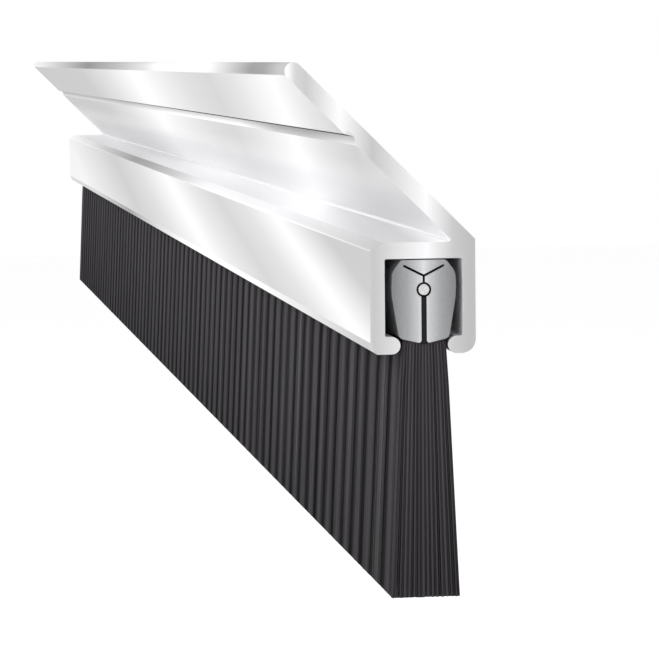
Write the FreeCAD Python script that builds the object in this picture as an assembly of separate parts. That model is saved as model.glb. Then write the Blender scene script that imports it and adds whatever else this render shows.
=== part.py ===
"""Brush seal strip with a 45 degree holder, in millimetres.

An extruded aluminium holder carries a brush that slides in from either end. The holder is a
channel, open underwards between two rounded lips, with a flat fixing flange that rises at 45
degrees from the channel's back top corner and leans forward over it. A shallow vee runs along
the flange's inner face as the line to drill on. The brush is a crimped backing section with two
jaws, a core wire, and filaments folded over the wire, gripped in the slot between the jaws and
trimmed level 50 mm below them.

+X runs along the strip, +Y to its back, +Z up. Every section is drawn in the YZ plane, seen from
the +X end. The origin is on the flange's outer face, which bears on the door or frame, behind
the drilling line and half way along the strip.
"""

import FreeCAD, Part
import math
import os

# Length of the holder and of the brush in it
strip_length = 1000.0

# Holder: the channel, from its inside outwards
channel_width = 15.4
channel_height = 15.2
front_wall = 2.9
back_wall = 2.5
top_wall = 3.2
lip_thickness = 3.4
lip_opening = 9.4
channel_corner_radius = 0.4

# Holder: the channel's outer edges
heel_radius = 2.8
top_bevel_width = 2.7
top_bevel_drop = 1.5
foot_bevel_width = 1.2
foot_bevel_rise = 2.3
bevel_edge_radius = 0.5

# Holder: the fixing flange, and the drilling line in its inner face
flange_angle = 45.0
flange_length = 50.0
flange_thickness = 3.4
flange_corner_rise = 0.5
flange_root_radius = 0.4
drill_line_distance = 31.0
drill_vee_width = 3.3
drill_vee_depth = 0.9

# Clearances: above the backing, where its jaws sit on the lips, between filaments and lips,
# and round the parts that the backing grips
top_clearance = 0.25
seat_clearance = 0.3
lip_clearance = 0.3
grip_clearance = 0.05

# Backing: outline of the two jaws
backing_top_width = 8.8
backing_shoulder_width = 12.4
backing_shoulder_drop = 2.3
backing_width = 12.9
backing_width_drop = 6.2
jaw_depth = 16.3
jaw_heel_angle = 43.0
top_edge_radius = 1.0
shoulder_radius = 3.0
flank_radius = 20.0
jaw_heel_radius = 1.3

# Backing: the slot for the filaments, the wire's seat and the Y-shaped slit above it
slot_width = 1.06
slot_mouth_radius = 0.5
wire_diameter = 2.1
wire_drop = 5.8
fold_thickness = 0.32
slit_width = 0.45
slit_fork_drop = 3.1
slit_arm_angle = 27.0
slit_arm_length = 4.3

# Filaments: trimmed length below the jaws, and the curtain's widths
trim_length = 50.0
curtain_neck_radius = 0.6
curtain_flare_width = 9.8
curtain_flare_drop = 6.0
curtain_tip_width = 13.6

# Filaments: grooves between the bundles, along the sides and across the ends
bundle_pitch = 15.0
bundle_groove_width = 9.0
bundle_groove_depth = 0.6
end_bundle_pitch = 0.95
end_groove_width = 0.5
end_groove_depth = 0.25

# Places in the section, from the sizes above; the jaws' heels sit on the rounded lips
flange_rise = math.sin(math.radians(flange_angle))
flange_run = math.cos(math.radians(flange_angle))
half_inside = channel_width / 2
half_opening = lip_opening / 2
lip_radius = lip_thickness / 2
front_y = -half_inside - front_wall
back_y = half_inside + back_wall
centre_y = drill_line_distance * flange_run - back_y
flange_corner = -drill_line_distance * flange_rise
channel_top = flange_corner - flange_corner_rise
channel_ceiling = channel_top - top_wall
lip_top = channel_ceiling - channel_height
channel_bottom = lip_top - lip_thickness
backing_top = channel_ceiling - top_clearance
jaw_bottom = backing_top - jaw_depth
seat_reach = lip_radius + seat_clearance
heel_y = half_opening + lip_radius - seat_reach * math.cos(math.radians(jaw_heel_angle))
heel_z = lip_top - lip_radius + seat_reach * math.sin(math.radians(jaw_heel_angle))
wire_radius = wire_diameter / 2
wire_z = backing_top - wire_drop
fold_inner_radius = wire_radius + grip_clearance
fold_outer_radius = fold_inner_radius + fold_thickness
wire_seat_radius = fold_outer_radius + grip_clearance
half_neck = half_opening - lip_clearance
curtain_top = jaw_bottom - seat_clearance
curtain_bottom = jaw_bottom - trim_length

X_AXIS = FreeCAD.Vector(1, 0, 0)
Y_AXIS = FreeCAD.Vector(0, 1, 0)
Z_AXIS = FreeCAD.Vector(0, 0, 1)


def at(y, z):
    """A point of the section at the strip's -X end, with y from the middle of the channel."""
    return FreeCAD.Vector(-strip_length / 2, centre_y + y, z)


def rounded_face(corners):
    """A face through the corners (y, z, radius), each rounded by its radius."""
    points = [at(y, z) for y, z, _ in corners]
    ends = []
    for i, (_, _, radius) in enumerate(corners):
        corner = points[i]
        to_last = (points[i - 1] - corner).normalize()
        to_next = (points[(i + 1) % len(points)] - corner).normalize()
        if radius == 0:
            ends.append((corner, None, corner))
            continue
        half_turn = to_last.getAngle(to_next) / 2
        setback = radius / math.tan(half_turn)
        inwards = (to_last + to_next).normalize()
        middle = corner + inwards * (radius / math.sin(half_turn) - radius)
        ends.append((corner + to_last * setback, middle, corner + to_next * setback))
    edges = []
    for i, (start, middle, end) in enumerate(ends):
        if middle is not None:
            edges.append(Part.Arc(start, middle, end).toShape())
        following = ends[(i + 1) % len(ends)][0]
        if end.distanceToPoint(following) > 1e-6:
            edges.append(Part.makeLine(end, following))
    return Part.Face(Part.Wire(edges))


def symmetric(half):
    """All corners of a symmetric outline, from the +Y half of them."""
    return half + [(-y, z, radius) for y, z, radius in reversed(half)]


def along_strip(face):
    """The face run along the whole strip."""
    return face.extrude(X_AXIS * strip_length)


def rod(radius):
    """A cylinder along the whole strip, on the core wire's axis."""
    return Part.makeCylinder(radius, strip_length, at(0, wire_z), X_AXIS)


def flange_place(distance, depth):
    """A place on the flange: distance from its outer corner, depth from its outer face."""
    y = back_y - distance * flange_run - depth * flange_rise
    z = flange_corner + distance * flange_rise - depth * flange_run
    return y, z


def make_holder():
    """The holder: channel, lips, flange and drilling line as one extrusion."""
    root_distance = (flange_thickness * flange_run - flange_corner_rise) / flange_rise
    tip_radius = flange_thickness / 2
    vee_floor = flange_thickness - drill_vee_depth
    return along_strip(rounded_face([
        (back_y, flange_corner, 0),
        (back_y, channel_bottom, heel_radius),
        (half_opening, channel_bottom, lip_radius),
        (half_opening, lip_top, lip_radius),
        (half_inside, lip_top, channel_corner_radius),
        (half_inside, channel_ceiling, channel_corner_radius),
        (-half_inside, channel_ceiling, channel_corner_radius),
        (-half_inside, lip_top, channel_corner_radius),
        (-half_opening, lip_top, lip_radius),
        (-half_opening, channel_bottom, lip_radius),
        (front_y + foot_bevel_width, channel_bottom, bevel_edge_radius),
        (front_y, channel_bottom + foot_bevel_rise, bevel_edge_radius),
        (front_y, channel_top - top_bevel_drop, bevel_edge_radius),
        (front_y + top_bevel_width, channel_top, bevel_edge_radius),
        (*flange_place(root_distance, flange_thickness), flange_root_radius),
        (*flange_place(drill_line_distance - drill_vee_width / 2, flange_thickness), 0),
        (*flange_place(drill_line_distance, vee_floor), 0),
        (*flange_place(drill_line_distance + drill_vee_width / 2, flange_thickness), 0),
        (*flange_place(flange_length, flange_thickness), tip_radius),
        (*flange_place(flange_length, 0), tip_radius),
    ]))


def slit(z, angle, length):
    """A slit from the middle of the section at z, in the direction of angle, with a round end."""
    radius = slit_width / 2
    turn = FreeCAD.Rotation(X_AXIS, angle)
    across = turn.multVec(Z_AXIS) * radius
    start = at(0, z)
    end = start + turn.multVec(Y_AXIS) * length
    tip = end + turn.multVec(Y_AXIS) * radius
    outline = Part.Wire([
        Part.makeLine(start - across, end - across),
        Part.Arc(end - across, tip, end + across).toShape(),
        Part.makeLine(end + across, start + across),
        Part.makeLine(start + across, start - across),
    ])
    return Part.Face(outline)


def make_backing_channel():
    """The backing: two jaws joined over the wire, with the slit that lets them be crimped shut."""
    half_slot = slot_width / 2
    fork_z = backing_top - slit_fork_drop
    jaws = rounded_face(symmetric([
        (backing_top_width / 2, backing_top, top_edge_radius),
        (backing_shoulder_width / 2, backing_top - backing_shoulder_drop, shoulder_radius),
        (backing_width / 2, backing_top - backing_width_drop, flank_radius),
        (heel_y, heel_z, jaw_heel_radius),
        (half_slot, jaw_bottom, slot_mouth_radius),
        (half_slot, wire_z, 0),
    ]))
    stem = slit(wire_z, 90, fork_z - wire_z)
    right_arm = slit(fork_z, slit_arm_angle, slit_arm_length)
    left_arm = slit(fork_z, 180 - slit_arm_angle, slit_arm_length)
    slits = along_strip(stem.fuse([right_arm, left_arm]).removeSplitter())
    return along_strip(jaws).cut([rod(wire_seat_radius), slits])


def make_core_wire():
    """The wire that the filaments are folded over."""
    return rod(wire_radius)


def groove_cutter(start, run, outwards, across, width, depth):
    """A vee along run, with its floor depth below the surface at start and its mouth open."""
    floor = start - outwards * depth
    mouth = start + outwards * depth
    vee = Part.makePolygon([floor, mouth + across * width, mouth - across * width, floor])
    return Part.Face(vee).extrude(run)


def side_grooves(side):
    """Grooves between the bundles on one side of the curtain: 1 for the back, -1 for the front."""
    top = at(side * half_neck, channel_bottom)
    run = at(side * curtain_tip_width / 2, curtain_bottom) - top
    outwards = FreeCAD.Vector(0, side * -run.z, side * run.y).normalize()
    count = max(1, round(strip_length / bundle_pitch))
    step = X_AXIS * (strip_length / count)
    overrun = run * 0.1
    return [groove_cutter(top + step * i, run + overrun, outwards, X_AXIS,
                          bundle_groove_width, bundle_groove_depth) for i in range(1, count)]


def end_grooves(end):
    """Finer grooves across one cut end of the curtain: 1 for the +X end, -1 for the -X end."""
    top = at(0, curtain_top) + X_AXIS * (strip_length if end > 0 else 0)
    run = Z_AXIS * (curtain_bottom - curtain_top)
    count = int((curtain_tip_width / 2 - end_groove_width) / end_bundle_pitch)
    step = Y_AXIS * end_bundle_pitch
    return [groove_cutter(top + step * i, run * 1.1, X_AXIS * end, Y_AXIS,
                          end_groove_width, end_groove_depth) for i in range(-count, count + 1)]


def make_filaments():
    """The filaments: folded over the wire, down the slot, and out as a curtain in bundles."""
    half_slot = slot_width / 2 - grip_clearance
    jaw_slope = (heel_z - jaw_bottom) / (heel_y - slot_width / 2)
    shoulder_z = curtain_top + jaw_slope * (half_neck - half_slot)
    sheet = rounded_face(symmetric([
        (half_slot, wire_z, 0),
        (half_slot, curtain_top, 0),
        (half_neck, shoulder_z, curtain_neck_radius),
        (half_neck, channel_bottom, 0),
        (curtain_flare_width / 2, channel_bottom - curtain_flare_drop, 0),
        (curtain_tip_width / 2, curtain_bottom, 0),
    ]))
    curtain = along_strip(sheet).fuse(rod(fold_outer_radius)).cut(rod(fold_inner_radius))
    return curtain.cut(side_grooves(1) + side_grooves(-1) + end_grooves(1) + end_grooves(-1))


def main():
    os.makedirs("parts", exist_ok=True)
    pieces = {
        "holder": make_holder(),
        "backing_channel": make_backing_channel(),
        "core_wire": make_core_wire(),
        "filaments": make_filaments(),
    }
    for name, shape in pieces.items():
        print(name, "solids:", len(shape.Solids), "valid:", shape.isValid(), "mm3:", round(shape.Volume, 1))
        shape.exportStep("parts/" + name + ".step")


main()
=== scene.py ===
"""Looks for the brush seal strip: materials, single filaments, camera and light.

The holder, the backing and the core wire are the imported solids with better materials. The solid
that stands for the filaments is replaced by a core with single filaments all round it.
Sizes are in metres, in the row frame. Its origin lies on the flange's outer face, straight behind
the middle of the vee, and the near end is at +X.
"""

import math

import bpy
import numpy as np
from mathutils import Matrix, Vector


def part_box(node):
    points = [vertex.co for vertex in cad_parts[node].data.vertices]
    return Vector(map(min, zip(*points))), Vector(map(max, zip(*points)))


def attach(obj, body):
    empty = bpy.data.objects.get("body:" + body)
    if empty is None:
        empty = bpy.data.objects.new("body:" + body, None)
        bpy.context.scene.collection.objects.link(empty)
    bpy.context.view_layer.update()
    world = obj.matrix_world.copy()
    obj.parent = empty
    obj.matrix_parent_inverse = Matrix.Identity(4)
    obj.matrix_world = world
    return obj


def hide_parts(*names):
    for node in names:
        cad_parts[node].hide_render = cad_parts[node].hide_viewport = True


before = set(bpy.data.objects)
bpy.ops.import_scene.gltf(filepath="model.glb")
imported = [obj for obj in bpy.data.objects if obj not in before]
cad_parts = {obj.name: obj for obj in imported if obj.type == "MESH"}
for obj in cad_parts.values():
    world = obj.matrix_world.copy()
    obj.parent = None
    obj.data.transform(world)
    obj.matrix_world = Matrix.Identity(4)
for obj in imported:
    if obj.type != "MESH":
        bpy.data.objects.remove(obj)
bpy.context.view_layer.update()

MM = 0.001

# The section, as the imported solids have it
holder_low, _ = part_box("holder")
backing_low, backing_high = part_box("backing_channel")
brush_low, brush_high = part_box("filaments")
wire_low, wire_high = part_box("core_wire")

# Sizes of the section that no box gives
top_clearance = 0.25 * MM
top_wall = 3.2 * MM
inside_height = 15.2 * MM
half_inside = 7.7 * MM
flange_thickness = 3.4 * MM
vee_half_width = 1.65 * MM
vee_depth = 0.9 * MM
fold_clearance = 0.05 * MM
half_slot = 0.48 * MM
half_neck = 4.4 * MM
half_flare = 4.9 * MM

half_length = (brush_high[0] - brush_low[0]) / 2
centre_y = (brush_high[1] + brush_low[1]) / 2
half_tip = (brush_high[1] - brush_low[1]) / 2
tip_z = brush_low[2]
jaw_bottom = backing_low[2]
channel_bottom = holder_low[2]
channel_ceiling = backing_high[2] + top_clearance
channel_top = channel_ceiling + top_wall
lip_top = channel_ceiling - inside_height
wire_z = (wire_low[2] + wire_high[2]) / 2
fold_outer_radius = brush_high[2] - wire_z
fold_inner_radius = (wire_high[2] - wire_low[2]) / 2 + fold_clearance

# How far beside the exact place of a face its limits lie
skin = 0.02 * MM
margin = 0.1 * MM

# Where the holder's tones change: distances up or down the flange are from the vee's middle
side_middle = channel_top - 10.0 * MM
flange_start = channel_top + margin
root_top = channel_top + 0.7 * MM
rolled_edge_place = 17.8 * MM
flange_middle = -3.0 * MM
flange_root_place = -27.0 * MM

# Limits on the way that a face points, as its normal's share along an axis
end_facing = 0.9
flat_facing = 0.96
bevel_facing = 0.3
root_facing = -0.75

# Painted reflections on the holder along the strip, as (place from the middle, tone) where its soft
# streaks crest, bend or fade, and how far each streak slants for each metre across its face
side_reflection_tones = [(-0.45, 0.74), (-0.14, 0.425), (-0.02, 0.54), (0.105, 0.785), (0.18, 0.605),
              (0.265, 0.465), (0.34, 0.555), (0.41, 0.77), (0.50, 0.41)]
side_slant = 8.0
flange_reflection_tones = [(-0.23, 0.40), (-0.10, 0.56), (0.035, 0.825), (0.20, 0.515), (0.265, 0.45),
                (0.32, 0.55), (0.395, 0.775), (0.44, 0.56), (0.49, 0.41), (0.60, 0.63)]
flange_slant = 3.8
top_reflection_tones = [(-0.34, 1.0), (-0.20, 0.79), (-0.05, 0.78), (0.09, 1.0), (0.33, 1.0), (0.40, 0.79),
             (0.475, 0.75), (0.53, 1.0)]
top_slant = 11.0
bevel_reflection_tones = [(-0.36, 0.86), (-0.11, 0.285), (-0.02, 0.36), (0.07, 0.56), (0.165, 0.93),
               (0.21, 0.99), (0.33, 1.0), (0.50, 0.56)]
foot_reflection_tones = [(-0.31, 0.50), (-0.13, 0.15), (0.09, 0.75), (0.20, 0.87), (0.32, 0.73), (0.49, 0.385)]
tip_reflection_tones = [(-0.45, 0.70), (-0.10, 0.08), (0.05, 0.30), (0.16, 0.565), (0.20, 0.78), (0.34, 0.82),
             (0.40, 0.42), (0.44, 0.15), (0.465, 0.18), (0.49, 0.37)]
# The vee's lower face has painted shade that follows the streaks along the strip; its upper face has a
# painted shadow
vee_shade_and_reflection_tones = [(-0.10, 0.55), (0.10, 0.88), (0.29, 0.88), (0.37, 0.42), (0.43, 0.36), (0.49, 0.60)]
vee_shade_tones = [(-0.25, 0.50), (0.15, 0.02)]

# Painted light that makes the flange paler down to its root, where the channel's corner shades it, and
# painted shade that darkens its vee's lower face towards the vee's middle, so that it pales downwards, as
# (share of the way, amount)
painted_light_to_root = [(0.25, 0.0), (0.55, 0.28), (0.95, 0.50)]
vee_shade_fading_down = [(0.15, 0.62), (0.85, 1.0)]

# Painted reflections on the cut ends, as (place across from the channel's middle, tone)
end_reflection_tones = [(-26.4 * MM, 0.93), (-24.8 * MM, 0.63), (-22.7 * MM, 0.565), (-16.3 * MM, 0.89),
             (-9.9 * MM, 0.535), (0.6 * MM, 0.885), (5.8 * MM, 0.56), (9.0 * MM, 0.487)]
# On the backing's cut end, a painted highlight beside the slot and painted shade towards its flanks
backing_highlight_tones = [(0.0, 0.72), (1.3 * MM, 0.56), (3.2 * MM, 0.38), (5.8 * MM, 0.25), (6.4 * MM, 0.25)]

# The metals' single tones and tints, and how metallic and rough they are
# The channel's inner faces get a near-white tone of painted light, so that the gaps beside the backing
# read lighter
inside_painted_light = 0.97
# The root's fillet gets a painted shade that damps the highlight it catches
root_painted_shade = 0.74
flank_tone = 0.42
aluminium_tint = (0.992, 0.988, 1.0)
steel_tint = (0.965, 0.975, 1.0)
aluminium_metallic = 0.55
inside_metallic = 0.05
backing_metallic = 0.85
wire_metallic = 0.7
extra_sawn_roughness = 0.2

# Tones of the wire, as (noise, tone)
wire_tones = [(0.35, 0.52), (0.65, 0.72)]

# Grain in each metre along X, Y and Z, and the range of its noise that shows
extrusion_grain = (4.0, 2600.0, 2600.0)
backing_grain = (60.0, 1500.0, 1500.0)
wire_grain = (900.0, 2500.0, 2500.0)
plastic_grain = (1500.0, 1500.0, 25.0)
metal_range = (0.3, 0.7)
plastic_range = (0.35, 0.65)

# The filaments' plastics, each as its darkest and palest grey, and what they share
side_greys = {"dark": (0.045, 0.051), "middle": (0.049, 0.055), "pale": (0.053, 0.059)}
# At the cut ends the dark grey is painted shade on the columns that lie back; seen from below, the two
# greys fall at random
end_greys = {"dark": (0.029, 0.035), "pale": (0.053, 0.063)}
# The filaments inside the brush get a much darker grey, as painted shade
shaded_inside_greys = (0.009, 0.015)
plastic_warmth = (1.03, 0.95, 1.06)
plastic_specular = 0.08
# The painted shade at the floor of a groove between bundles, and how it fades out at the strip's ends
groove_shade_tone = 0.05
end_fade = 6.0 * MM
end_fade_share = 0.7

# The bundles along the brush, and the filaments on its long sides
bundle_pitch = 2 * half_length / round(2 * half_length / (15.0 * MM))
groove_width = 9.0 * MM
groove_depth = 0.6 * MM
filament_corners = 3
filament_radius = 0.24 * MM
side_pitch = 0.46 * MM
side_jitter = 0.5
side_layers = 3
layer_step = 0.38 * MM

# The filaments at the ends, in columns that stand proud or lie back, and those seen from below
end_filament_radius = 0.28 * MM
end_pitch = 0.475 * MM
end_layers = 4
column_relief = 0.12 * MM
underside_radius = 0.34 * MM
underside_pitch = 0.8 * MM
underside_length = 2.5 * MM
underside_jitter = 0.3

# How each filament runs from the jaws to the trimmed edge
root_below_jaws = 0.2 * MM
root_rise = 0.9 * MM
root_narrowing = 0.94
neck_above_bottom = 1.7 * MM
flare_below_bottom = 6.0 * MM
drift_spread = 0.15 * MM
inset_lost_at_tip = 0.95
trim_variation = 0.10 * MM

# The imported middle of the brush, behind its single filaments
core_inset = 1.1 * MM
core_end_inset = 1.32 * MM
core_shoulder_inset = 0.9 * MM
core_shoulder_below_jaws = 1.2 * MM
core_layer_inset = 0.3 * MM
core_above_tips = 1.2 * MM
web_below_jaws = 0.3 * MM
web_reach_into_fold = 0.8
fold_steps = 32

# Seed of every random draw
seed = 7

# Camera, as the photograph was drawn, with angles in degrees
camera_eye = (1.1623, -0.0950, 0.0137)
camera_yaw = 7.578
camera_pitch = 4.517
camera_roll = -0.583
camera_lens = 188.6
sensor_width = 36.0
nearest_seen = 0.01
farthest_seen = 50.0

# Each lamp's name, place, target, size and watts
lamps = [
    ("key", (0.7, -1.8, 0.25), (0.1, 0, 0), (1.8, 1.0), 11.2),
    ("end_fill", (2.0, -1.0, -0.1), (0.45, 0, 0), (0.8, 0.8), 5.0),
    ("top_fill", (0.2, -1.3, 0.95), (0, 0, 0), (1.8, 0.6), 13.0),
    ("back_fill", (-0.6, 1.6, 0.9), (0, 0, 0), (1.5, 1.0), 7.0),
]

# The world's strength where it lights and where it is seen, and the floor
world_light = 0.85
world_seen = 1.0
floor_reach = 6.0
floor_drop = 0.30
floor_tone = 0.9
floor_roughness = 0.9
floor_glow = 0.2


def node_material(name):
    """A new material, its node tree, and the Principled shader that is linked to its output."""
    material = bpy.data.materials.new(name)
    material.use_nodes = True
    tree = material.node_tree
    tree.nodes.clear()
    shader = tree.nodes.new("ShaderNodeBsdfPrincipled")
    output = tree.nodes.new("ShaderNodeOutputMaterial")
    tree.links.new(shader.outputs["BSDF"], output.inputs["Surface"])
    return material, tree, shader


def add_node(tree, kind, inputs=None, **settings):
    """A node of that kind with its settings and inputs; an input may be a value or a socket."""
    node = tree.nodes.new(kind)
    for key, value in settings.items():
        setattr(node, key, value)
    for key, value in (inputs or {}).items():
        socket = node.inputs[key]
        if isinstance(value, bpy.types.NodeSocket):
            tree.links.new(value, socket)
        else:
            socket.default_value = value
    return node


def maths(tree, operation, a, b=0.0, c=0.0):
    """The result socket of one maths node."""
    node = add_node(tree, "ShaderNodeMath", {0: a, 1: b, 2: c}, operation=operation)
    return node.outputs[0]


def position(tree):
    """The surface's place in the row frame, as separate X, Y and Z sockets, and as a vector."""
    coordinates = add_node(tree, "ShaderNodeTexCoord").outputs["Object"]
    axes = add_node(tree, "ShaderNodeSeparateXYZ", {0: coordinates}).outputs
    return axes["X"], axes["Y"], axes["Z"], coordinates


def facing(tree):
    """The X, Y and Z shares of the way that the flat surface faces."""
    normal = add_node(tree, "ShaderNodeNewGeometry").outputs["True Normal"]
    axes = add_node(tree, "ShaderNodeSeparateXYZ", {0: normal}).outputs
    return axes["X"], axes["Y"], axes["Z"]


def faces_end(tree, normal_x):
    """1 on the faces of the strip's two ends, else 0."""
    return maths(tree, "GREATER_THAN", maths(tree, "ABSOLUTE", normal_x), end_facing)


def grey(tone):
    """The neutral colour of a tone."""
    return (tone, tone, tone)


def ramp(tree, factor, stops):
    """A colour ramp over factor, with stops of (place, grey or colour)."""
    node = add_node(tree, "ShaderNodeValToRGB", {0: factor})
    elements = node.color_ramp.elements
    while len(elements) < len(stops):
        elements.new(0.5)
    for element, (place, colour) in zip(elements, stops):
        element.position = place
        rgb = grey(colour) if isinstance(colour, float) else colour
        element.color = (*rgb, 1.0)
    return node.outputs["Color"]


def tone_by(tree, place, stops):
    """A tone that follows place, in even runs between its stops of (place, tone)."""
    first = stops[0][0]
    span = stops[-1][0] - first
    share = maths(tree, "MULTIPLY_ADD", place, 1 / span, -first / span)
    return ramp(tree, share, [((stop - first) / span, tone) for stop, tone in stops])


def stretched_noise(tree, coordinates, scale, detail=3.0):
    """Noise whose grain is stretched by the three scales."""
    mapping = add_node(tree, "ShaderNodeMapping", {"Vector": coordinates, "Scale": scale})
    noise = add_node(tree, "ShaderNodeTexNoise",
                     {"Vector": mapping.outputs[0], "Scale": 1.0, "Detail": detail})
    return noise.outputs["Fac"]


def mix_colour(tree, factor, a, b, blend="MIX"):
    """The result of mixing two colours."""
    node = add_node(tree, "ShaderNodeMix", {"Factor": factor}, data_type="RGBA", blend_type=blend)
    for key, value in (("A", a), ("B", b)):
        socket = [item for item in node.inputs if item.name == key and item.type == "RGBA"][0]
        if isinstance(value, bpy.types.NodeSocket):
            tree.links.new(value, socket)
        else:
            socket.default_value = (*value, 1.0)
    return [item for item in node.outputs if item.type == "RGBA"][0]


def multiplied(tree, a, b):
    """The product of two colours."""
    return mix_colour(tree, 1.0, a, b, "MULTIPLY")


def grained(tree, tone, grain, share, dark):
    """The tone with that share of its grain, whose darkest streaks have the tone dark."""
    low, high = metal_range
    streaks = ramp(tree, grain, [(low, dark), (high, 1.0)])
    return mix_colour(tree, share, tone, streaks, "MULTIPLY")


def varied(tree, grain, least, spread):
    """A value that grows with the grain, from least by up to spread."""
    return maths(tree, "MULTIPLY_ADD", grain, spread, least)


def between(tree, value, low, high):
    """1 where value lies between low and high, else 0."""
    above = maths(tree, "GREATER_THAN", value, low)
    below = maths(tree, "LESS_THAN", value, high)
    return maths(tree, "MULTIPLY", above, below)


def both(tree, a, b):
    """1 where a and b both are."""
    return maths(tree, "MULTIPLY", a, b)


def slanted(tree, x, across, slant, middle):
    """The place along the strip of a streak that slants across its face, from its middle."""
    offset = maths(tree, "MULTIPLY_ADD", across, slant, -slant * middle)
    return maths(tree, "ADD", x, offset)


def inside_channel(tree, y, z):
    """1 on the channel's inner faces, else 0."""
    across = maths(tree, "ABSOLUTE", maths(tree, "SUBTRACT", y, centre_y))
    within = maths(tree, "LESS_THAN", across, half_inside + skin)
    level = between(tree, z, lip_top - skin, channel_ceiling + skin)
    return both(tree, within, level)


def channel_tone(tree, x, y, z, normal_y, normal_z):
    """The tone of the channel: painted reflections on its side, its bevels and its flat top, and painted
    light on its inside.
    """
    side = tone_by(tree, slanted(tree, x, z, side_slant, side_middle), side_reflection_tones)
    upwards = maths(tree, "GREATER_THAN", normal_z, 0.0)
    bevel = mix_colour(tree, upwards, tone_by(tree, x, foot_reflection_tones), tone_by(tree, x, bevel_reflection_tones))
    slope = maths(tree, "ABSOLUTE", normal_y)
    tone = mix_colour(tree, between(tree, slope, bevel_facing, flat_facing), side, bevel)
    top = tone_by(tree, slanted(tree, x, y, top_slant, centre_y), top_reflection_tones)
    tone = mix_colour(tree, maths(tree, "GREATER_THAN", normal_z, flat_facing), tone, top)
    return mix_colour(tree, inside_channel(tree, y, z), tone, grey(inside_painted_light))


def up_flange(tree, y, z):
    """How far up the flange a place lies, measured from the middle of its vee."""
    return maths(tree, "MULTIPLY", maths(tree, "SUBTRACT", z, y), math.sqrt(0.5))


def vee_part(tree, y, z, low, high):
    """1 on the vee between two places up the flange, else 0."""
    depth = maths(tree, "MULTIPLY", maths(tree, "ADD", z, y), -math.sqrt(0.5))
    cut = between(tree, depth, flange_thickness - vee_depth - margin, flange_thickness - skin)
    return both(tree, cut, between(tree, up_flange(tree, y, z), low, high))


def flange_tone(tree, x, y, z, normal_y):
    """The tone of the flange: painted reflections on its faces and its rolled edge, painted light towards
    its root, painted shade on the root's fillet and in its vee.
    """
    along = up_flange(tree, y, z)
    tone = tone_by(tree, slanted(tree, x, along, -flange_slant, flange_middle), flange_reflection_tones)
    to_root = maths(tree, "DIVIDE", along, flange_root_place)
    tone = mix_colour(tree, ramp(tree, to_root, painted_light_to_root), tone, grey(1.0))
    rolled = maths(tree, "GREATER_THAN", along, rolled_edge_place)
    tone = mix_colour(tree, rolled, tone, tone_by(tree, x, tip_reflection_tones))
    root = both(tree, maths(tree, "LESS_THAN", z, root_top),
                maths(tree, "LESS_THAN", normal_y, root_facing))
    tone = mix_colour(tree, root, tone, grey(root_painted_shade))
    down_vee = maths(tree, "DIVIDE", along, -vee_half_width)
    lower = multiplied(tree, tone_by(tree, x, vee_shade_and_reflection_tones), ramp(tree, down_vee, vee_shade_fading_down))
    tone = mix_colour(tree, vee_part(tree, y, z, -vee_half_width, 0.0), tone, lower)
    upper = tone_by(tree, x, vee_shade_tones)
    return mix_colour(tree, vee_part(tree, y, z, 0.0, vee_half_width), tone, upper)


def holder_material():
    """Bright aluminium with painted reflections as soft slanting streaks, painted light inside and
    towards the flange's root, painted shade on the root's fillet and in the vee, left dull inside, and
    sawn at its ends.
    """
    material, tree, shader = node_material("holder_aluminium")
    x, y, z, coordinates = position(tree)
    normal_x, normal_y, normal_z = facing(tree)
    channel = channel_tone(tree, x, y, z, normal_y, normal_z)
    on_flange = maths(tree, "GREATER_THAN", z, flange_start)
    tone = mix_colour(tree, on_flange, channel, flange_tone(tree, x, y, z, normal_y))
    sawn = faces_end(tree, normal_x)
    across = maths(tree, "SUBTRACT", y, centre_y)
    tone = mix_colour(tree, sawn, tone, tone_by(tree, across, end_reflection_tones))
    grain = stretched_noise(tree, coordinates, extrusion_grain)
    tone = multiplied(tree, grained(tree, tone, grain, share=0.08, dark=0.6), aluminium_tint)
    tree.links.new(tone, shader.inputs["Base Color"])
    dull = both(tree, inside_channel(tree, y, z), maths(tree, "SUBTRACT", 1.0, sawn))
    metallic = maths(tree, "MULTIPLY_ADD", dull, inside_metallic - aluminium_metallic, aluminium_metallic)
    tree.links.new(metallic, shader.inputs["Metallic"])
    rough = varied(tree, grain, least=0.36, spread=0.10)
    rough = maths(tree, "MULTIPLY_ADD", sawn, extra_sawn_roughness, rough)
    matt = vee_part(tree, y, z, 0.0, vee_half_width)
    tree.links.new(maths(tree, "MAXIMUM", rough, matt), shader.inputs["Roughness"])
    bump = add_node(tree, "ShaderNodeBump", {"Strength": 0.06, "Distance": 0.05 * MM, "Height": grain})
    tree.links.new(bump.outputs[0], shader.inputs["Normal"])
    return material


def backing_material():
    """Galvanised steel, cut at its ends, where a painted highlight makes it paler beside the slot and
    painted shade darker towards its flanks.
    """
    material, tree, shader = node_material("backing_steel")
    _, y, _, coordinates = position(tree)
    normal_x, _, _ = facing(tree)
    aside = maths(tree, "ABSOLUTE", maths(tree, "SUBTRACT", y, centre_y))
    cut = tone_by(tree, aside, backing_highlight_tones)
    tone = mix_colour(tree, faces_end(tree, normal_x), grey(flank_tone), cut)
    grain = stretched_noise(tree, coordinates, backing_grain)
    tone = multiplied(tree, grained(tree, tone, grain, share=0.15, dark=0.5), steel_tint)
    tree.links.new(tone, shader.inputs["Base Color"])
    shader.inputs["Metallic"].default_value = backing_metallic
    tree.links.new(varied(tree, grain, least=0.34, spread=0.15), shader.inputs["Roughness"])
    return material


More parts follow.
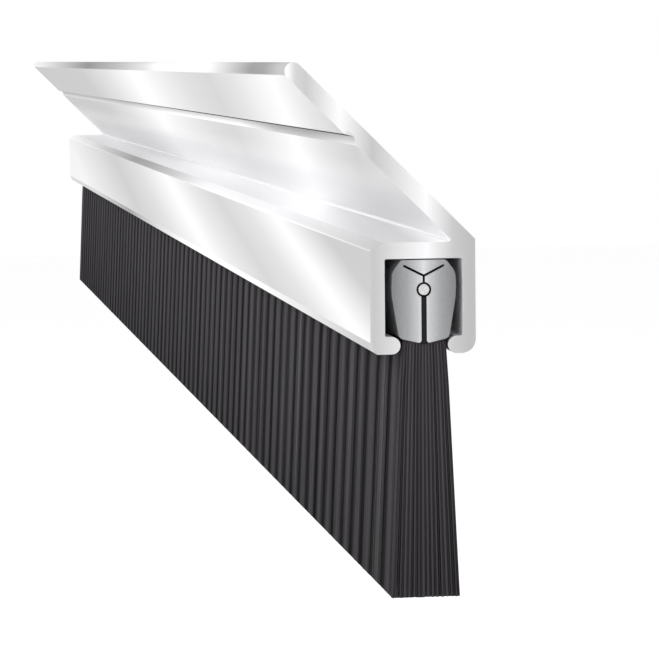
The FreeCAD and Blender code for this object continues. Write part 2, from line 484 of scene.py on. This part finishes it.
def wire_material():
    """Bright drawn steel wire."""
    material, tree, shader = node_material("wire_steel")
    _, _, _, coordinates = position(tree)
    grain = stretched_noise(tree, coordinates, wire_grain)
    tree.links.new(ramp(tree, grain, wire_tones), shader.inputs["Base Color"])
    shader.inputs["Metallic"].default_value = wire_metallic
    tree.links.new(varied(tree, grain, least=0.35, spread=0.2), shader.inputs["Roughness"])
    return material


def bundle_shade(tree, x):
    """Painted shade for the filaments' place in a bundle: dark in the grooves between them.

    The shade fades out towards the strip's ends, so that a groove there isn't a black edge.
    """
    from_end = maths(tree, "ADD", x, half_length)
    turns = maths(tree, "MULTIPLY", from_end, 2 * math.pi / bundle_pitch)
    from_groove = maths(tree, "MULTIPLY_ADD", maths(tree, "COSINE", turns), -0.5, 0.5)
    aside = maths(tree, "ABSOLUTE", x)
    near_end = maths(tree, "MULTIPLY_ADD", aside, 1 / end_fade, 1.0 - half_length / end_fade)
    least = maths(tree, "MULTIPLY", near_end, end_fade_share)
    return ramp(tree, maths(tree, "MAXIMUM", from_groove, least), [(0.0, groove_shade_tone), (1.0, 1.0)])


def filament_material(name, greys, in_bundles):
    """Charcoal plastic between its two greys, with painted shade in the grooves where it is in bundles.
    """
    material, tree, shader = node_material(name)
    x, _, _, coordinates = position(tree)
    grain = stretched_noise(tree, coordinates, plastic_grain, detail=2.0)
    stops = [(noise, tuple(tone * share for share in plastic_warmth))
             for noise, tone in zip(plastic_range, greys)]
    colour = ramp(tree, grain, stops)
    if in_bundles:
        colour = multiplied(tree, colour, bundle_shade(tree, x))
    tree.links.new(colour, shader.inputs["Base Color"])
    tree.links.new(varied(tree, grain, least=0.48, spread=0.15), shader.inputs["Roughness"])
    shader.inputs["Specular IOR Level"].default_value = plastic_specular
    return material


def add_piece(name, mesh):
    """The mesh as a piece of the brush."""
    piece = bpy.data.objects.new(name, mesh)
    bpy.context.scene.collection.objects.link(piece)
    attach(piece, "brush")
    return piece


def add_solid(name, vertices, faces, material):
    """A closed mesh of one material, as a piece of the brush."""
    mesh = bpy.data.meshes.new(name)
    mesh.from_pydata(vertices, [], faces)
    mesh.materials.append(material)
    mesh.update()
    return add_piece(name, mesh)


def filament_mesh(name, paths, radius, turns, tones, materials):
    """One object of many thin prisms, one for each filament.

    paths has one row of points for each filament, from its root to its tip. turns sets how each
    one's corners are turned, and tones picks its material.
    """
    count, rings, _ = paths.shape
    corners = np.arange(filament_corners)
    angles = turns[:, None] + corners[None, :] * (2 * math.pi / filament_corners)
    ring = np.zeros((count, 1, filament_corners, 3))
    ring[:, 0, :, 0] = np.cos(angles) * radius
    ring[:, 0, :, 1] = np.sin(angles) * radius
    vertices = (paths[:, :, None, :] + ring).reshape(-1, 3)
    roots = np.arange(count)[:, None] * rings * filament_corners + corners
    faces = []
    for level in range(rings - 1):
        here = roots + level * filament_corners
        onward = here + filament_corners
        for a in corners:
            b = (a + 1) % filament_corners
            faces.append(np.stack([here[:, a], onward[:, a], onward[:, b], here[:, b]], axis=1))
    quads = np.stack(faces, axis=1).reshape(-1, 4)
    tips = (roots + (rings - 1) * filament_corners)[:, ::-1]
    mesh = bpy.data.meshes.new(name)
    mesh.from_pydata(vertices.tolist(), [], quads.tolist() + tips.tolist() + roots.tolist())
    for material in materials:
        mesh.materials.append(material)
    slots = np.concatenate([np.repeat(tones, filament_corners * (rings - 1)), tones, tones])
    mesh.polygons.foreach_set("material_index", slots.astype(np.int32))
    smooth = np.concatenate([np.ones(len(quads), bool), np.zeros(2 * count, bool)])
    mesh.polygons.foreach_set("use_smooth", smooth)
    mesh.update()
    return add_piece(name, mesh)


def groove_share(x):
    """How deep each x lies in a groove between bundles, from 0 on a bundle to 1 at the floor."""
    place = np.mod(x + half_length, bundle_pitch)
    from_groove = np.minimum(place, bundle_pitch - place)
    return np.clip(1.0 - from_groove / (groove_width / 2), 0.0, 1.0)


def fan_paths(x, share, inset, rng):
    """Filament paths from the jaws to the trimmed edge.

    share is each one's place across the curtain, from -1 to 1. inset moves it in from the
    curtain's surface, less so at the trimmed edge.
    """
    count = len(x)
    root_z = jaw_bottom - root_below_jaws + root_rise * abs(share)
    tips_z = tip_z + rng.uniform(0, trim_variation, count)
    heights = [root_z, channel_bottom + neck_above_bottom, channel_bottom - flare_below_bottom, tips_z]
    half_widths = [half_neck * root_narrowing, half_neck, half_flare, half_tip]
    limit = half_length - filament_radius
    drift = rng.normal(0.0, drift_spread, count)
    paths = np.zeros((count, len(heights), 3))
    for i, (height, half_width) in enumerate(zip(heights, half_widths)):
        reach = i / (len(heights) - 1)
        inwards = inset * (1 - inset_lost_at_tip * reach)
        paths[:, i, 0] = np.clip(x + drift * reach, -limit, limit)
        paths[:, i, 1] = centre_y + share * (half_width - filament_radius - inwards)
        paths[:, i, 2] = height
    return paths


def make_side_filaments(side, materials, rng):
    """The outer layers on one long side: 1 for the back, -1 for the front."""
    per_layer = int(2 * half_length / side_pitch)
    for layer in range(side_layers):
        x = np.linspace(-half_length + side_pitch, half_length - side_pitch, per_layer)
        x = x + rng.uniform(-side_jitter, side_jitter, per_layer) * side_pitch
        inset = groove_share(x) * groove_depth + layer * layer_step
        paths = fan_paths(x, np.full(per_layer, float(side)), inset, rng)
        tones = rng.integers(0, len(materials), per_layer)
        turns = rng.uniform(0, 2 * math.pi, per_layer)
        name = "filaments_{}_{}".format("back" if side > 0 else "front", layer + 1)
        filament_mesh(name, paths, filament_radius, turns, tones, materials)


def make_end_filaments(end, materials, rng):
    """The filaments that show at one cut end, in pale columns and dark ones that lie back, whose darker
    plastic is painted shade.
    """
    columns = int(half_tip / end_pitch)
    share = np.arange(-columns, columns + 1) / columns
    dark = np.arange(len(share)) % 2 == 0
    limit = half_length - end_filament_radius
    layers = []
    for layer in range(end_layers):
        inset = np.where(dark, column_relief, 0.0) + layer * layer_step
        x = end * (limit - inset)
        layers.append(fan_paths(x, share, 0.0, rng))
    paths = np.concatenate(layers)
    paths[:, :, 0] = paths[:, :1, 0]
    tones = np.tile(np.where(dark, 0, 1), end_layers)
    turns = rng.uniform(0, 2 * math.pi, len(paths))
    name = "filaments_end_{}".format("near" if end > 0 else "far")
    filament_mesh(name, paths, end_filament_radius, turns, tones, materials)


def make_underside(materials, rng):
    """The trimmed ends seen from below, between the outer layers."""
    inner = half_tip - side_layers * layer_step
    rows = int(2 * inner / underside_pitch)
    per_row = int(2 * half_length / underside_pitch)
    x, y = np.meshgrid(np.linspace(-half_length, half_length, per_row + 2)[1:-1],
                       np.linspace(-inner, inner, rows))
    x = x.ravel() + rng.uniform(-underside_jitter, underside_jitter, x.size) * underside_pitch
    y = y.ravel() + rng.uniform(-underside_jitter, underside_jitter, y.size) * underside_pitch
    paths = np.zeros((x.size, 2, 3))
    paths[:, :, 0] = x[:, None]
    paths[:, :, 1] = centre_y + y[:, None]
    paths[:, 0, 2] = tip_z + underside_length
    paths[:, 1, 2] = tip_z + rng.uniform(0, trim_variation, x.size)
    tones = rng.integers(0, len(materials), x.size)
    turns = rng.uniform(0, 2 * math.pi, x.size)
    filament_mesh("filaments_underside", paths, underside_radius, turns, tones, materials)


def extruded(name, half_outline, material, inset):
    """A closed solid along the strip, inset from both its ends, from half its (y, z) outline."""
    mirrored = [(-y, z) for y, z in reversed(half_outline)]
    outline = [(centre_y + y, z) for y, z in half_outline + mirrored]
    count = len(outline)
    reach = half_length - inset
    vertices = [(x, y, z) for x in (-reach, reach) for y, z in outline]
    faces = [tuple(range(count - 1, -1, -1)), tuple(range(count, 2 * count))]
    faces += [(i, (i + 1) % count, count + (i + 1) % count, count + i) for i in range(count)]
    return add_solid(name, vertices, faces, material)


def make_core(material):
    """The filaments inside the brush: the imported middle, and the web in the slot."""
    web_top = (half_slot, wire_z - fold_outer_radius * web_reach_into_fold)
    web_bottom = (half_slot, jaw_bottom - web_below_jaws)
    shoulder = (half_neck - core_shoulder_inset, jaw_bottom - core_shoulder_below_jaws)
    neck = (half_neck - core_inset, channel_bottom)
    foot = (half_tip - core_inset - side_layers * core_layer_inset, tip_z + core_above_tips)
    extruded("filaments_web", [web_top, web_bottom], material, 0.0)
    core = extruded("filaments_core", [web_bottom, shoulder, neck, foot], material, core_end_inset)
    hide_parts("filaments")


def make_fold(material):
    """The filaments folded round the wire, as a ring along the strip."""
    angles = [2 * math.pi * i / fold_steps for i in range(fold_steps)]
    loops = [(radius, x) for radius in (fold_outer_radius, fold_inner_radius)
             for x in (-half_length, half_length)]
    vertices = [(x, centre_y + radius * math.cos(angle), wire_z + radius * math.sin(angle))
                for radius, x in loops for angle in angles]
    faces = []
    for a, b in ((0, 1), (1, 3), (3, 2), (2, 0)):
        for i in range(fold_steps):
            j = (i + 1) % fold_steps
            faces.append((a * fold_steps + i, a * fold_steps + j, b * fold_steps + j, b * fold_steps + i))
    add_solid("filaments_fold", vertices, faces, material)


def make_brush():
    """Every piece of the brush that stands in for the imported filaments."""
    rng = np.random.default_rng(seed)
    side_plastics = [filament_material("filament_side_" + shade, greys, in_bundles=True)
                     for shade, greys in side_greys.items()]
    end_plastics = [filament_material("filament_end_" + shade, greys, in_bundles=False)
                    for shade, greys in end_greys.items()]
    # The brush's inside gets a much darker copy of the plastic, as painted shade
    inside = filament_material("filament_inside_shaded", shaded_inside_greys, in_bundles=False)
    make_core(inside)
    make_fold(inside)
    for side in (-1, 1):
        make_side_filaments(side, side_plastics, rng)
    for end in (1, -1):
        make_end_filaments(end, end_plastics, rng)
    make_underside(end_plastics, rng)


def paint(node, material):
    """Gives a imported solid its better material."""
    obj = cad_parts[node]
    for material_slot in obj.material_slots:
        material_slot.material = material


def make_camera():
    """The camera at the photograph's place."""
    data = bpy.data.cameras.new("camera")
    camera = bpy.data.objects.new("camera", data)
    bpy.context.scene.collection.objects.link(camera)
    yaw = math.radians(camera_yaw)
    pitch = math.radians(camera_pitch)
    roll = math.radians(camera_roll)
    forward = Vector((-math.cos(yaw) * math.cos(pitch),
                      math.sin(yaw) * math.cos(pitch),
                      -math.sin(pitch)))
    level_right = forward.cross(Vector((0, 0, 1))).normalized()
    level_up = level_right.cross(forward)
    right = level_right * math.cos(roll) + level_up * math.sin(roll)
    up = level_up * math.cos(roll) - level_right * math.sin(roll)
    turn = Matrix((right, up, -forward)).transposed().to_4x4()
    camera.matrix_world = Matrix.Translation(camera_eye) @ turn
    data.lens = camera_lens
    data.sensor_width = sensor_width
    data.clip_start = nearest_seen
    data.clip_end = farthest_seen
    bpy.context.scene.camera = camera


def area_light(name, place, target, size, watts):
    """A soft rectangular lamp at place, aimed at target."""
    data = bpy.data.lights.new(name, "AREA")
    data.shape = "RECTANGLE"
    data.size, data.size_y = size
    data.energy = watts
    lamp = bpy.data.objects.new(name, data)
    bpy.context.scene.collection.objects.link(lamp)
    direction = Vector(target) - Vector(place)
    lamp.location = place
    lamp.rotation_euler = direction.to_track_quat("-Z", "Y").to_euler()


def make_world():
    """A pale world, a little brighter where it is seen than where it only lights."""
    world = bpy.data.worlds.new("world")
    bpy.context.scene.world = world
    world.use_nodes = True
    tree = world.node_tree
    tree.nodes.clear()
    path = add_node(tree, "ShaderNodeLightPath")
    seen = maths(tree, "MAXIMUM", path.outputs["Is Camera Ray"], path.outputs["Is Glossy Ray"])
    seen = maths(tree, "MAXIMUM", seen, path.outputs["Is Transmission Ray"])
    strength = maths(tree, "MULTIPLY_ADD", seen, world_seen - world_light, world_light)
    background = add_node(tree, "ShaderNodeBackground", {"Color": (1, 1, 1, 1), "Strength": strength})
    output = add_node(tree, "ShaderNodeOutputWorld")
    tree.links.new(background.outputs[0], output.inputs[0])


def make_floor():
    """A plain white floor well below the brush, so that its shadow stays soft."""
    z = tip_z - floor_drop
    corners = [(x * floor_reach, y * floor_reach, z) for x, y in ((-1, -1), (1, -1), (1, 1), (-1, 1))]
    mesh = bpy.data.meshes.new("floor")
    mesh.from_pydata(corners, [], [(0, 1, 2, 3)])
    floor = bpy.data.objects.new("floor", mesh)
    bpy.context.scene.collection.objects.link(floor)
    material, tree, shader = node_material("floor_white")
    shader.inputs["Base Color"].default_value = (*grey(floor_tone), 1.0)
    shader.inputs["Roughness"].default_value = floor_roughness
    path = add_node(tree, "ShaderNodeLightPath")
    shader.inputs["Emission Color"].default_value = (1, 1, 1, 1)
    seen = maths(tree, "MAXIMUM", path.outputs["Is Camera Ray"], path.outputs["Is Glossy Ray"])
    tree.links.new(maths(tree, "MULTIPLY", seen, floor_glow), shader.inputs["Emission Strength"])
    mesh.materials.append(material)


def main():
    """Builds the whole scene."""
    paint("holder", holder_material())
    paint("backing_channel", backing_material())
    paint("core_wire", wire_material())
    make_brush()
    make_camera()
    for lamp in lamps:
        area_light(*lamp)
    make_world()
    make_floor()
    bpy.context.scene.view_settings.view_transform = "Standard"


main()
